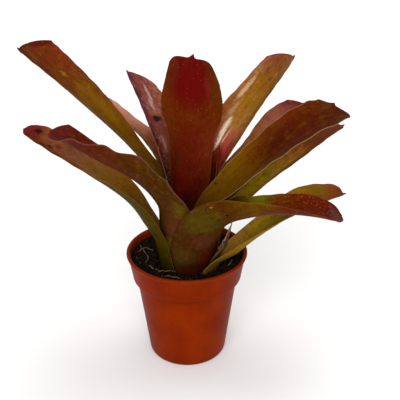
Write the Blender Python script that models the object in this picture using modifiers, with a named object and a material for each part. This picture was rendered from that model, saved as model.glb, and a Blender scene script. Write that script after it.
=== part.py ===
"""A young neoregelia bromeliad in a small terracotta-coloured plastic nursery pot.

Metres, +Z up. The pot stands on z = 0 with its axis on the Z axis, and the front is towards -Y.
Sizes below are in millimetres and are turned into metres where the meshes are made.
"""

import math

import bmesh
import bpy
import numpy as np

MM = 0.001

# Pot, from the table up
POT_HEIGHT = 57.0
LIP_RADIUS = 30.0
COLLAR_TOP_RADIUS = 29.0
COLLAR_FOOT_RADIUS = 27.0
COLLAR_HEIGHT = 14.0
BODY_TOP_RADIUS = 25.0
FOOT_RADIUS = 19.5
WALL = 1.0
FLOOR = 1.4
TURN_STEPS = 48
DRAIN_HOLES = 6
DRAIN_RADIUS = 2.5
DRAIN_CIRCLE = 12.5
FOOT_ROUND = 0.8
LIP_ROUND = 0.5
LIP_DEPTH = 1.1
STEP_ROUND = 0.6

# Soil and stem
CLEARANCE = 0.3
SOIL_TOP = 53.4
SOIL_ROUGHNESS = 0.7
SOIL_ROUND = 0.8
PLANT_HOLE_RADIUS = 16.6
PLANT_HOLE_FLOOR = 41.0
STEM_FOOT_RADIUS = 6.0

# Rosette: the sheaths are nested rings round this axis
ROSETTE_X = 1.0
ROSETTE_Y = -3.0
OUTER_RING = 15.2
RING_PITCH = 0.95
SHEATH_FOOT = 49.0
STEM_SLOPE = 0.5
FLARE = 0.026
LEAF_THICKNESS = 0.6
TIP_LENGTH = 6.0
TIP_ROUND = 4.0
SPINE = 2.0
ACROSS = 9
ALONG = 17


def clear_scene():
    for obj in list(bpy.data.objects):
        bpy.data.objects.remove(obj, do_unlink=True)


def new_collection(name):
    collection = bpy.data.collections.new(name)
    bpy.context.scene.collection.children.link(collection)
    return collection


def new_material(name, colour, roughness, metallic=0.0):
    material = bpy.data.materials.new(name)
    material.use_nodes = True
    shader = material.node_tree.nodes["Principled BSDF"]
    shader.inputs["Base Color"].default_value = (*colour, 1.0)
    shader.inputs["Roughness"].default_value = roughness
    shader.inputs["Metallic"].default_value = metallic
    material.diffuse_color = (*colour, 1.0)
    return material


def shade_smooth(obj):
    for face in obj.data.polygons:
        face.use_smooth = True


def turned(name, profile, collection, material):
    """A solid turned round Z from a closed or axis-to-axis profile of (radius, height) in mm."""
    mesh = bpy.data.meshes.new(name)
    points = [(radius * MM, 0.0, height * MM) for radius, height in profile]
    edges = [(i, i + 1) for i in range(len(points) - 1)]
    mesh.from_pydata(points, edges, [])
    obj = bpy.data.objects.new(name, mesh)
    collection.objects.link(obj)
    mesh.materials.append(material)
    screw = obj.modifiers.new("Screw", "SCREW")
    screw.steps = TURN_STEPS
    screw.render_steps = TURN_STEPS
    screw.use_merge_vertices = True
    screw.merge_threshold = 0.00001
    screw.use_smooth_shade = True
    return obj


def apply_modifiers(obj):
    """Replaces the object's mesh with the one its modifiers make."""
    graph = bpy.context.evaluated_depsgraph_get()
    mesh = bpy.data.meshes.new_from_object(obj.evaluated_get(graph))
    old = obj.data
    obj.modifiers.clear()
    obj.data = mesh
    bpy.data.meshes.remove(old)


def make_pot(parts, cutters):
    """The moulded cup: floor, tapering body, step, collar and rounded lip, with drain holes."""
    plastic = new_material("terracotta_plastic", (0.36, 0.055, 0.02), 0.38)
    step_height = POT_HEIGHT - COLLAR_HEIGHT
    profile = [
        (0.0, FLOOR),
        (FOOT_RADIUS - WALL - FOOT_ROUND, FLOOR),
        (FOOT_RADIUS - WALL, FLOOR + FOOT_ROUND),
        (BODY_TOP_RADIUS - WALL, step_height - STEP_ROUND),
        (COLLAR_FOOT_RADIUS - WALL, step_height + 1.5 * STEP_ROUND),
        (COLLAR_TOP_RADIUS - WALL, POT_HEIGHT - LIP_DEPTH - 0.3),
        (COLLAR_TOP_RADIUS - WALL + 0.2, POT_HEIGHT - LIP_ROUND),
        (COLLAR_TOP_RADIUS - WALL + 0.8, POT_HEIGHT),
        (LIP_RADIUS - LIP_ROUND, POT_HEIGHT),
        (LIP_RADIUS, POT_HEIGHT - LIP_ROUND),
        (LIP_RADIUS, POT_HEIGHT - LIP_DEPTH),
        (COLLAR_TOP_RADIUS + 0.2, POT_HEIGHT - LIP_DEPTH - 0.7),
        (COLLAR_FOOT_RADIUS + 0.1, step_height + STEP_ROUND),
        (COLLAR_FOOT_RADIUS - 0.4, step_height),
        (BODY_TOP_RADIUS + 0.4, step_height - LIP_ROUND),
        (BODY_TOP_RADIUS, step_height - 2 * STEP_ROUND),
        (FOOT_RADIUS, FOOT_ROUND),
        (FOOT_RADIUS - FOOT_ROUND, 0.0),
        (0.0, 0.0),
    ]
    pot = turned("pot", profile, parts, plastic)
    apply_modifiers(pot)
    for i in range(DRAIN_HOLES):
        turn = 2 * math.pi * i / DRAIN_HOLES
        cut_hole(pot, turn, cutters)
    apply_modifiers(pot)
    shade_smooth(pot)
    return pot


def cut_hole(pot, turn, cutters):
    """One round drain hole through the floor."""
    mesh = bpy.data.meshes.new("drain_cutter")
    shape = bmesh.new()
    bmesh.ops.create_cone(
        shape,
        cap_ends=True,
        segments=12,
        radius1=DRAIN_RADIUS * MM,
        radius2=DRAIN_RADIUS * MM,
        depth=4 * FLOOR * MM,
    )
    shape.to_mesh(mesh)
    shape.free()
    cutter = bpy.data.objects.new("drain_cutter", mesh)
    cutter.location = (
        DRAIN_CIRCLE * math.cos(turn) * MM,
        DRAIN_CIRCLE * math.sin(turn) * MM,
        0.0,
    )
    cutter.hide_render = True
    cutter.display_type = "WIRE"
    cutters.objects.link(cutter)
    cut = pot.modifiers.new("Drain", "BOOLEAN")
    cut.operation = "DIFFERENCE"
    cut.object = cutter


def pot_inside(height):
    """Radius of the pot's inner wall at a height."""
    step_height = POT_HEIGHT - COLLAR_HEIGHT
    heights = [
        FLOOR + FOOT_ROUND,
        step_height - STEP_ROUND,
        step_height + 1.5 * STEP_ROUND,
        POT_HEIGHT - LIP_DEPTH - 0.3,
    ]
    radii = [
        FOOT_RADIUS - WALL,
        BODY_TOP_RADIUS - WALL,
        COLLAR_FOOT_RADIUS - WALL,
        COLLAR_TOP_RADIUS - WALL,
    ]
    return float(np.interp(height, heights, radii))


def make_soil(parts):
    """Potting soil up to just below the lip, with a plain hole that the plant stands in."""
    peat = new_material("potting_soil", (0.016, 0.011, 0.008), 0.95)
    step_height = POT_HEIGHT - COLLAR_HEIGHT
    bottom = FLOOR + CLEARANCE
    heights = [
        FLOOR + FOOT_ROUND,
        step_height - STEP_ROUND,
        step_height + 1.5 * STEP_ROUND,
        SOIL_TOP - SOIL_ROUND,
    ]
    profile = [(0.0, bottom), (FOOT_RADIUS - WALL - FOOT_ROUND - CLEARANCE, bottom)]
    profile += [(pot_inside(height) - CLEARANCE, height) for height in heights]
    outer = pot_inside(SOIL_TOP) - CLEARANCE
    crumb_rings = 5
    for i in range(crumb_rings + 1):
        radius = outer + (PLANT_HOLE_RADIUS + SOIL_ROUND - outer) * i / crumb_rings
        profile.append((radius, SOIL_TOP))
    profile += [(PLANT_HOLE_RADIUS, SOIL_TOP - SOIL_ROUND), (PLANT_HOLE_RADIUS, PLANT_HOLE_FLOOR)]
    profile.append((0.0, PLANT_HOLE_FLOOR))
    profile.reverse()
    soil = turned("potting_soil", profile, parts, peat)
    apply_modifiers(soil)
    roughen(soil)
    shift_hole(soil)
    return soil


def roughen(soil):
    """Lifts and sinks the top of the soil into crumbs, by a seeded draw."""
    draw = np.random.default_rng(7)
    for vertex in soil.data.vertices:
        if vertex.co.z < (SOIL_TOP - 0.4) * MM:
            continue
        turn = math.atan2(vertex.co.y, vertex.co.x)
        slow = 0.5 * math.sin(3 * turn + 1.0) + 0.35 * math.sin(7 * turn)
        lift = SOIL_ROUGHNESS * (0.6 * slow + draw.uniform(-0.7, 0.9))
        vertex.co.z += lift * MM


def shift_hole(soil):
    """Moves the plant's hole from the pot's axis to the rosette's."""
    for vertex in soil.data.vertices:
        radius = math.hypot(vertex.co.x, vertex.co.y) / MM
        if vertex.co.z < (PLANT_HOLE_FLOOR - 0.1) * MM:
            continue
        share = np.interp(radius, [PLANT_HOLE_RADIUS + SOIL_ROUND, BODY_TOP_RADIUS - WALL], [1.0, 0.0])
        vertex.co.x += share * ROSETTE_X * MM
        vertex.co.y += share * ROSETTE_Y * MM


def make_stem(parts):
    """The short squat stem that every sheath is seated on."""
    pith = new_material("stem", (0.2, 0.13, 0.06), 0.8)
    seat = SHEATH_FOOT - CLEARANCE
    apex = seat + STEM_SLOPE * OUTER_RING
    rim = OUTER_RING + LEAF_THICKNESS / 2
    profile = [
        (0.0, apex),
        (rim, seat - STEM_SLOPE * LEAF_THICKNESS),
        (rim, seat - 1.4),
        (STEM_FOOT_RADIUS + 4.0, PLANT_HOLE_FLOOR + 3.0),
        (STEM_FOOT_RADIUS, PLANT_HOLE_FLOOR + CLEARANCE),
        (0.0, PLANT_HOLE_FLOOR + CLEARANCE),
    ]
    stem = turned("stem", profile, parts, pith)
    stem.location = (ROSETTE_X * MM, ROSETTE_Y * MM, 0.0)
    return stem


def smooth_through(knots, values, at):
    """Smooth cubic through the values at the knots, read at the given places."""
    knots = np.asarray(knots, float)
    values = np.asarray(values, float)
    slopes = np.gradient(values, knots, axis=0)
    left = np.clip(np.searchsorted(knots, at, side="right") - 1, 0, len(knots) - 2)
    step = knots[left + 1] - knots[left]
    t = (at - knots[left]) / step
    if values.ndim > 1:
        step = step[:, None]
        t = t[:, None]
    start = (2 * t**3 - 3 * t**2 + 1) * values[left] + (t**3 - 2 * t**2 + t) * step * slopes[left]
    end = (3 * t**2 - 2 * t**3) * values[left + 1] + (t**3 - t**2) * step * slopes[left + 1]
    return start + end


def ease(share):
    share = np.clip(share, 0.0, 1.0)
    return share * share * (3 - 2 * share)


def section(half_width, curl, side):
    """Across and inward offsets of one point of a leaf's rounded channel, side from -1 to 1."""
    steps = np.linspace(0.0, abs(side), 41)
    slant = curl * steps
    reach = float(np.sum(np.cos((slant[1:] + slant[:-1]) / 2))) * steps[1]
    rise = float(np.sum(np.sin((slant[1:] + slant[:-1]) / 2))) * steps[1]
    return math.copysign(half_width * reach, side), half_width * rise


def leaf_points(leaf, along, across):
    """Points of a leaf's middle surface, in rows from the foot of its sheath to its tip.

    The sheath hugs a flaring ring round the rosette's axis. From there the blade follows its
    own route, as a rounded channel set square to it, and rolls and swings as it goes.
    """
    bearing = math.radians(leaf["azimuth"])
    ring = leaf["ring"]
    foot = SHEATH_FOOT + STEM_SLOPE * (OUTER_RING - ring)
    start = (ROSETTE_X + ring * math.cos(bearing), ROSETTE_Y + ring * math.sin(bearing), foot)
    route = np.array([start, *leaf["route"]], float)
    knots = np.concatenate([[0.0], np.cumsum(np.linalg.norm(np.diff(route, axis=0), axis=1))])
    length = knots[-1]
    body = np.linspace(0.0, length - 0.9 * TIP_LENGTH, along - 3)
    at = np.concatenate([body, length - TIP_LENGTH * np.array([0.55, 0.25, 0.0])])
    share = at / length
    place = smooth_through(knots, route, at)
    ahead = smooth_through(knots, route, np.minimum(at + 0.25, length))
    behind = smooth_through(knots, route, np.maximum(at - 0.25, 0.0))
    forward = (ahead - behind) / np.linalg.norm(ahead - behind, axis=1)[:, None]

    waist_at = leaf.get("waist_at", 0.42)
    between = leaf.get("widths", ((waist_at, leaf["waist"]), (0.72, leaf["blade"])))
    width_at = [0.0, *[at_share for at_share, _ in between], 1.0]
    widths = [leaf["sheath"], *[wide for _, wide in between]]
    widths.append(leaf["blade"] * leaf.get("tip", 0.72))
    width = smooth_through(width_at, widths, share)
    wrap = math.degrees(leaf["sheath"] / (2 * ring))
    curl = smooth_through([0.0, waist_at, 0.75, 1.0], [wrap, *leaf["curl"]], share)
    roll = smooth_through(knots / length, [0.0, *leaf["roll"]], share)
    turn = smooth_through([0.0, 0.18, 0.5, 1.0], [0.0, 0.0, 1.0, 1.0], share).clip(0.0, 1.0)
    heading = bearing + math.radians(leaf.get("swing", 0.0)) * turn
    hug_end, blade_start = leaf.get("hug", (12.0, 36.0))
    freed = ease((at - hug_end) / (blade_start - hug_end))
    tipping = np.clip((at - length + 2.2 * TIP_LENGTH) / (2.2 * TIP_LENGTH), 0.0, 1.0)

    points = np.zeros((along, len(across), 3))
    for row in range(along):
        outward = np.array([math.cos(heading[row]), math.sin(heading[row]), 0.0])
        sideways = np.array([-outward[1], outward[0], 0.0])
        sideways = sideways - forward[row] * (sideways @ forward[row])
        sideways = sideways / np.linalg.norm(sideways)
        inward = np.cross(forward[row], sideways)
        if inward @ (np.array([0.0, 0.0, 0.8]) - outward) < 0:
            inward = -inward
        tilt = math.radians(roll[row])
        wide = sideways * math.cos(tilt) + inward * math.sin(tilt)
        deep = inward * math.cos(tilt) - sideways * math.sin(tilt)
        hug_radius = ring + FLARE * at[row] ** 1.5
        for column, side in enumerate(across):
            reach, rise = section(width[row] / 2, math.radians(curl[row]), side)
            push = leaf.get("slant", 0.0) * side - TIP_ROUND * abs(side) ** leaf.get("corner", 2.4)
            push = push * tipping[row]
            if row == along - 1:
                near_spine = max(0.0, 1 - abs(side - leaf.get("spine_at", 0.0)) / 0.24)
                push += leaf.get("spine", SPINE) * near_spine
            blade = place[row] + wide * reach + deep * rise + forward[row] * push
            angle = bearing + side * width[row] / (2 * hug_radius)
            sheath = np.array(
                [
                    ROSETTE_X + hug_radius * math.cos(angle),
                    ROSETTE_Y + hug_radius * math.sin(angle),
                    foot + at[row],
                ]
            )
            points[row, column] = sheath * (1 - freed[row]) + blade * freed[row]
    return points


def make_leaf(leaf, collection, material):
    """One leaf: a grid moved onto its middle surface, split into triangles and thickened."""
    points = leaf_points(leaf, ALONG, np.linspace(-1.0, 1.0, ACROSS)).reshape(-1, 3)
    shape = bmesh.new()
    bmesh.ops.create_grid(shape, x_segments=ACROSS - 1, y_segments=ALONG - 1, size=1.0)
    order = sorted(shape.verts, key=lambda v: (round(v.co.y, 4), round(v.co.x, 4)))
    for vertex, point in zip(order, points):
        vertex.co = [value * MM for value in point]
    bmesh.ops.triangulate(shape, faces=shape.faces[:], quad_method="SHORT_EDGE")
    mesh = bpy.data.meshes.new(leaf["name"])
    shape.to_mesh(mesh)
    shape.free()
    mesh.materials.append(material)
    obj = bpy.data.objects.new(leaf["name"], mesh)
    collection.objects.link(obj)
    thicken = obj.modifiers.new("Thickness", "SOLIDIFY")
    thicken.thickness = LEAF_THICKNESS * MM
    thicken.offset = 0.0
    shade_smooth(obj)
    return obj


def make_dry_sheath(parts):
    """A torn, papery remnant of an old leaf's base, between the outer sheaths on the right."""
    paper = new_material("dry_sheath", (0.13, 0.06, 0.025), 0.8)
    remnant = dict(
        name="dry_sheath",
        ring=ring(1),
        azimuth=-26,
        sheath=12,
        waist=11,
        blade=8,
        tip=0.6,
        curl=(30, 25, 20),
        hug=(6, 16),
        slant=2.0,
        spine_at=0.6,
        route=((17.8, -9, 60), (19.3, -9, 67), (21, -8.5, 74.5)),
        roll=(0, 0, 0),
    )
    return make_leaf(remnant, parts, paper)


def ring(place):
    """Radius of a nesting place, counted from 0 at the outermost sheath."""
    return OUTER_RING - RING_PITCH * place


# Each leaf, outermost first. azimuth: bearing of the sheath in degrees from +X towards +Y.
# sheath, waist, blade: widths in mm. curl: half the angle of the channel at the waist, at three
# quarters and at the tip. route: places of the midrib after the foot, in mm. roll: degrees
# about the midrib at each of them. swing: how far the blade's heading leaves the sheath's.
# hug: where along it the sheath starts and stops leaving the ring.
def leaves():
    return [
        dict(
            name="leaf_low_right", ring=ring(0), azimuth=-18, swing=20,
            sheath=28, waist=18, blade=19.5, curl=(52, 35, 40), hug=(3, 14), slant=0.5,
            corner=3.2, spine_at=-0.35,
            route=((24, -5, 57.5), (38, -2.5, 70), (57.5, 1.5, 82.5), (75.5, 4, 86.5)),
            roll=(4, 6, 12, 3),
            colour=(0.24, 0.15, 0.005),
        ),
        dict(
            name="leaf_low_left", ring=ring(1), azimuth=188, swing=-6, spine=0.6,
            sheath=28, waist=24, blade=22.5, tip=0.52, curl=(55, 45, 45), hug=(10, 30),
            route=((-16.5, -6, 65), (-25, -8.5, 85.5), (-43.5, -9, 104), (-72.5, -6, 122.5)),
            roll=(6, 4, -10, -20), colour=(0.25, 0.13, 0.01),
        ),
        dict(
            name="leaf_lower_right", ring=ring(2), azimuth=21,
            sheath=16, waist=18.5, blade=20, curl=(45, 35, 40),
            route=((20.5, 4, 73.5), (34.5, 8, 88.5), (55.5, 13, 105.5), (75.5, 19, 115)),
            roll=(0, 0, 5, -8), colour=(0.22, 0.13, 0.004),
        ),
        dict(
            name="leaf_front_right", ring=ring(3), azimuth=-60, swing=62, spine=0.6,
            sheath=32, waist=36, blade=24, tip=0.76, curl=(80, 54, 22), hug=(4, 38), waist_at=0.45,
            corner=3.5, widths=((0.45, 34.6), (0.57, 26.5), (0.72, 23.5), (0.9, 22.5)),
            route=((12, -18, 69), (18.5, -22, 82.5), (30.5, -22.5, 87), (48, -20.5, 88),
                   (71, -18, 85.2)),
            roll=(0, -24, -18, -4, 5), colour=(0.19, 0.03, 0.005),
        ),
        dict(
            name="leaf_front_left", ring=ring(4), azimuth=231, swing=-49, spine=0.6,
            sheath=24, waist=28, blade=25, curl=(72, 68, 29), hug=(14, 42),
            route=((-9, -15, 82), (-16.5, -19.5, 97.5), (-25, -23.5, 107.5), (-38.5, -23, 115),
                   (-58, -17.5, 126)),
            roll=(8, 22, 30, 22, -12), colour=(0.15, 0.045, 0.006),
        ),
        dict(
            name="leaf_back_right_short", ring=ring(5), azimuth=40,
            sheath=18, waist=14, blade=20, tip=0.85, curl=(45, 35, 30),
            route=((16, 8, 86), (37, 17, 105), (47.5, 26, 116), (58.5, 33, 121.5)),
            roll=(0, 0, 0, 0), colour=(0.3, 0.09, 0.04),
        ),
        dict(
            name="leaf_back_left_low", ring=ring(6), azimuth=128,
            sheath=14, waist=13, blade=16, tip=0.62, curl=(45, 20, 25),
            route=((-7, 13, 88), (-14.5, 23.5, 103), (-28, 36.5, 109.5), (-46, 48.5, 119.5)),
            roll=(0, 2, 25, 8), colour=(0.42, 0.16, 0.1),
        ),
        dict(
            name="leaf_upper_left", ring=ring(7), azimuth=165, tip=0.9, spine_at=0.85,
            sheath=16, waist=12.5, blade=28, curl=(45, 35, 25), hug=(12, 40), slant=2,
            route=((-11, 3, 90), (-25.5, 5.5, 109.5), (-47.5, 11, 131), (-72.5, 15.5, 156)),
            roll=(0, 6, 6, -5), colour=(0.21, 0.1, 0.004),
        ),
        dict(
            name="leaf_back_right_tall", ring=ring(8), azimuth=58, slant=-1.5, spine_at=-0.8,
            sheath=18, waist=18.5, blade=23, tip=0.7, curl=(45, 40, 25),
            route=((11, 13, 95.5), (21.5, 20, 113), (36, 34, 127.5), (49.4, 46.9, 143.3)),
            roll=(0, 0, -11, -5), colour=(0.3, 0.12, 0.015),
        ),
        dict(
            name="leaf_back_left", ring=ring(9), azimuth=120, slant=4, spine_at=0.8,
            sheath=14, waist=18, blade=20.5, tip=0.65, curl=(45, 35, 32),
            route=((-5, 10, 98), (-10.5, 18.5, 113.5), (-17.5, 29, 122), (-25.5, 41.5, 134.5)),
            roll=(0, 4, 16, 7), colour=(0.22, 0.04, 0.04),
        ),
        dict(
            name="leaf_young_inner", ring=ring(10), azimuth=48,
            sheath=7, waist=8.5, blade=9, tip=0.5, curl=(60, 50, 40),
            route=((10, 5.5, 84.5), (12, 7.5, 92.5), (13.4, 9.5, 100), (15.6, 12, 106)),
            roll=(0, 0, 0, 0), colour=(0.1, 0.02, 0.008),
        ),
        dict(
            name="leaf_back_centre", ring=ring(11), azimuth=106, swing=-14, slant=2, corner=6,
            sheath=10, waist=21, blade=30, curl=(40, 27, 25), hug=(16, 42), waist_at=0.46,
            widths=((0.4, 20.5), (0.55, 22.5), (0.63, 24.5), (0.7, 29.5), (0.77, 30.5), (0.86, 27.5)),
            route=((1.5, 7, 96), (1.5, 11.5, 116), (2.5, 17.5, 129), (2.5, 26, 146.5)),
            roll=(4, 18, 0, -6), colour=(0.16, 0.015, 0.003),
        ),
        dict(
            name="leaf_upper_right", ring=ring(12), azimuth=-15, swing=20, slant=-2.4, spine_at=0.5,
            sheath=16, waist=24, blade=26, tip=0.8, curl=(60, 30, 30), hug=(16, 42), waist_at=0.36,
            route=((16, -7, 84.5), (35, -4.5, 106.5), (56.5, -3, 124.5), (71, 2.1, 129)),
            roll=(14, 10, 17, 18), colour=(0.13, 0.05, 0.004),
        ),
    ]


def main():
    clear_scene()
    parts = new_collection("neoregelia_in_pot")
    cutters = new_collection("cutters")
    cutters.hide_render = True
    make_pot(parts, cutters)
    make_soil(parts)
    make_stem(parts)
    make_dry_sheath(parts)
    for leaf in leaves():
        green = new_material(leaf["name"], leaf["colour"], 0.35)
        make_leaf(leaf, parts, green)


main()
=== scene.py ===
"""The looks of a young neoregelia bromeliad in its small terracotta-coloured nursery pot.

Metres, +Z up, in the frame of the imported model. The pot stands on z = 0 and the front is
towards -Y. Sizes are written in millimetres and turned into metres as the meshes are made.
"""

import math
from collections import namedtuple

import bpy
import numpy as np
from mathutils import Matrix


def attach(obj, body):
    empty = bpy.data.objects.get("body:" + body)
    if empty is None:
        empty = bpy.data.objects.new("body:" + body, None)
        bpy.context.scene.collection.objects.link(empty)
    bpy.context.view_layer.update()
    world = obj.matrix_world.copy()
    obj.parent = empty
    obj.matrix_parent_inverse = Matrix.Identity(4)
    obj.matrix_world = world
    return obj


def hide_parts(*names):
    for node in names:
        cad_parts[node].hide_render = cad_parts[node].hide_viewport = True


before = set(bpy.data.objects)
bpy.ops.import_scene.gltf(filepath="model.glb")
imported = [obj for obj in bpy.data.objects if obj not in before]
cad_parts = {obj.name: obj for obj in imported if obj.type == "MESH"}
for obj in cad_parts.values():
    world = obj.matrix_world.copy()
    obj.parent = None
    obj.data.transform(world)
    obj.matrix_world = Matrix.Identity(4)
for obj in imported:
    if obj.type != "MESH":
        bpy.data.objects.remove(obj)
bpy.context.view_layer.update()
MM = 0.001


# The pot is one thin-walled cup, injection moulded in terracotta-coloured polypropylene. It has
# a rounded lip, a deeper collar that stacks on the next pot, a small step, a tapering body and
# six drain holes punched through the floor. The plant stands in it, held only by the soil.
POT_SEGMENTS = 128
POT_HEIGHT = 57.0
POT_STEP = 43.0
SMOOTH_BELOW = math.radians(38)
DRAIN_HOLES = 6
DRAIN_RADIUS = 2.5
DRAIN_CIRCLE = 12.5


class Signal:
    """An output in a material. Arithmetic on it adds the Math node that works it out."""

    def __init__(self, finish, socket):
        self.finish = finish
        self.socket = socket

    def math(self, operation, first, second=None, clamp=False):
        sockets = {0: first} if second is None else {0: first, 1: second}
        settings = {"operation": operation, "use_clamp": clamp}
        return self.finish.node("ShaderNodeMath", settings, sockets)

    def __add__(self, other):
        return self.math("ADD", self, other)

    __radd__ = __add__

    def __sub__(self, other):
        return self.math("SUBTRACT", self, other)

    def __rsub__(self, other):
        return self.math("SUBTRACT", other, self)

    def __mul__(self, other):
        return self.math("MULTIPLY", self, other)

    __rmul__ = __mul__

    def __truediv__(self, other):
        return self.math("DIVIDE", self, other)

    def __abs__(self):
        return self.math("ABSOLUTE", self)

    def clamped(self):
        return self.math("ADD", self, 0.0, clamp=True)

    def between(self, low, high):
        """0 at low, 1 at high, smooth on the way. low may be the larger."""
        settings = {"interpolation_type": "SMOOTHSTEP"}
        return self.finish.node("ShaderNodeMapRange", settings, {0: self, 1: low, 2: high})


class Finish:
    """The material of a piece. What never varies is set on the shader itself."""

    def __init__(self, name, steady):
        self.material = bpy.data.materials.new(name)
        self.material.use_nodes = True
        self.tree = self.material.node_tree
        self.shader = self.tree.nodes["Principled BSDF"]
        for socket, value in steady.items():
            self.feed(self.shader.inputs[socket], value)

    def node(self, kind, settings=None, sockets=None, output=0):
        made = self.tree.nodes.new(kind)
        for key, value in (settings or {}).items():
            if key == "stops":
                self.set_stops(made.color_ramp, value)
            else:
                setattr(made, key, value)
        for key, value in (sockets or {}).items():
            self.feed(made.inputs[key], value)
        return Signal(self, made.outputs[output])

    def feed(self, socket, value):
        """Joins a signal to a socket, or sets it to a number or to the colour of a code."""
        if isinstance(value, Signal):
            self.tree.links.new(value.socket, socket)
        else:
            socket.default_value = paint(value) if isinstance(value, str) else value

    def set_stops(self, ramp, stops):
        stops = [stop.split() for stop in stops.split(", ")]
        while len(ramp.elements) < len(stops):
            ramp.elements.new(0.5)
        for element, (hundredths, code) in zip(ramp.elements, stops):
            element.position = int(hundredths) / 100
            element.color = paint(code)

    def ramp(self, signal, stops):
        """Colours along a signal. Each stop is a place in hundredths and a colour's code."""
        return self.node("ShaderNodeValToRGB", {"stops": stops}, {0: signal})

    def mix(self, share, first, second):
        settings = {"data_type": "RGBA"}
        return self.node("ShaderNodeMix", settings, {0: share, 6: first, 7: second}, output=2)

    def darken(self, share, colour, shade):
        settings = {"data_type": "RGBA", "blend_type": "MULTIPLY"}
        return self.node("ShaderNodeMix", settings, {0: share, 6: colour, 7: shade}, output=2)

    def noise(self, place, scale, detail=2.0, roughness=0.5):
        sockets = {"Vector": place, "Scale": scale, "Detail": detail, "Roughness": roughness}
        return self.node("ShaderNodeTexNoise", {}, sockets)

    def cells(self, place, scale):
        return self.node("ShaderNodeTexVoronoi", {}, {"Vector": place, "Scale": scale})

    def dots(self, place, size, share):
        """Round dots of a size in cell widths, in about that share of the cells."""
        sockets = {"Vector": place, "Scale": 1.0}
        away = self.node("ShaderNodeTexVoronoi", {}, sockets)
        chance = self.node("ShaderNodeTexVoronoi", {}, sockets, output=1)
        kept = self.part_of(chance, 0).between(1.0 - share, 1.02 - share)
        return away.between(size, size * 0.5) * kept

    def vector(self, x, y, z):
        return self.node("ShaderNodeCombineXYZ", {}, {0: x, 1: y, 2: z})

    def part_of(self, vector, axis):
        return self.node("ShaderNodeSeparateXYZ", {}, {0: vector}, output=axis)

    def place(self):
        """The point in the model's frame, in millimetres."""
        at = self.node("ShaderNodeTexCoord", {}, {}, output=3)
        return self.node("ShaderNodeVectorMath", {"operation": "SCALE"}, {0: at, 3: 1000.0})

    def chart(self):
        """The place on a leaf: across it from 0 to 1, and along it from 0 at its foot."""
        chart = self.node("ShaderNodeUVMap", {"uv_map": "UVMap"})
        return self.part_of(chart, 0), self.part_of(chart, 1)

    def wear(self, colour, roughness, height=None, depth=0.1, strength=1.0, film=None):
        """Joins the varying signals to the shader. depth is the relief's height in mm, and film
        the weight of a glossy coat."""
        self.feed(self.shader.inputs["Base Color"], colour)
        self.feed(self.shader.inputs["Roughness"], roughness)
        if film is not None:
            self.feed(self.shader.inputs["Coat Weight"], film)
        if height is not None:
            sockets = {"Strength": strength, "Distance": depth * MM, "Height": height}
            relief = self.node("ShaderNodeBump", {}, sockets)
            self.feed(self.shader.inputs["Normal"], relief)
        return self.material


def paint(code):
    """A linear colour from the six-figure code of a screen colour."""
    parts = [int(code[i : i + 2], 16) / 255 for i in (0, 2, 4)]
    linear = [v / 12.92 if v < 0.04045 else ((v + 0.055) / 1.055) ** 2.4 for v in parts]
    return (*linear, 1.0)


def start_piece():
    """Leaves edit mode and selects nothing, so that the next operators touch no other piece."""
    if bpy.context.mode != "OBJECT":
        bpy.ops.object.mode_set(mode="OBJECT")
    bpy.ops.object.select_all(action="DESELECT")


def pick(piece):
    """Makes a piece the only one selected, and the active one."""
    start_piece()
    piece.select_set(True)
    bpy.context.view_layer.objects.active = piece


def add_object(name, data):
    made = bpy.data.objects.new(name, data)
    bpy.context.scene.collection.objects.link(made)
    return made


def dress(piece, name, material, replaced=None):
    """Names a finished piece, gives it its material and joins it to the model."""
    piece.name = name
    piece.data.name = name
    piece.data.materials.clear()
    piece.data.materials.append(material)
    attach(piece, "root")
    if replaced:
        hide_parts(replaced)


def turned_piece(profile, segments):
    """A solid of rings drawn up one from another, from a pole to a pole, given as (radius, height)."""
    start_piece()
    radius, height = profile[1]
    bpy.ops.mesh.primitive_circle_add(
        vertices=segments,
        radius=radius * MM,
        fill_type="TRIFAN",
        location=(0.0, 0.0, height * MM),
    )
    piece = bpy.context.object
    bpy.ops.object.transform_apply(location=True, rotation=True, scale=True)
    mesh = piece.data
    select_ring(mesh, radius)
    bpy.ops.object.mode_set(mode="EDIT")
    for next_radius, next_height in profile[2:-1]:
        lift = (0.0, 0.0, (next_height - height) * MM)
        bpy.ops.mesh.extrude_region_move(TRANSFORM_OT_translate={"value": lift})
        grow = next_radius / radius
        middle = (0.0, 0.0, next_height * MM)
        bpy.ops.transform.resize(value=(grow, grow, 1.0), center_override=middle)
        radius = next_radius
        height = next_height
    bpy.ops.mesh.extrude_region_move(TRANSFORM_OT_translate={"value": (0.0, 0.0, 0.0)})
    bpy.ops.mesh.merge(type="CENTER")
    bpy.ops.mesh.select_all(action="SELECT")
    bpy.ops.mesh.normals_make_consistent(inside=False)
    bpy.ops.object.mode_set(mode="OBJECT")
    return piece


def select_ring(mesh, radius):
    """Selects the outer ring of a filled circle, its points and edges."""
    for vertex in mesh.vertices:
        vertex.select = math.hypot(vertex.co.x, vertex.co.y) > 0.5 * radius * MM
    for face in mesh.polygons:
        face.select = False
    for edge in mesh.edges:
        edge.select = all(mesh.vertices[i].select for i in edge.vertices)


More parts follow.
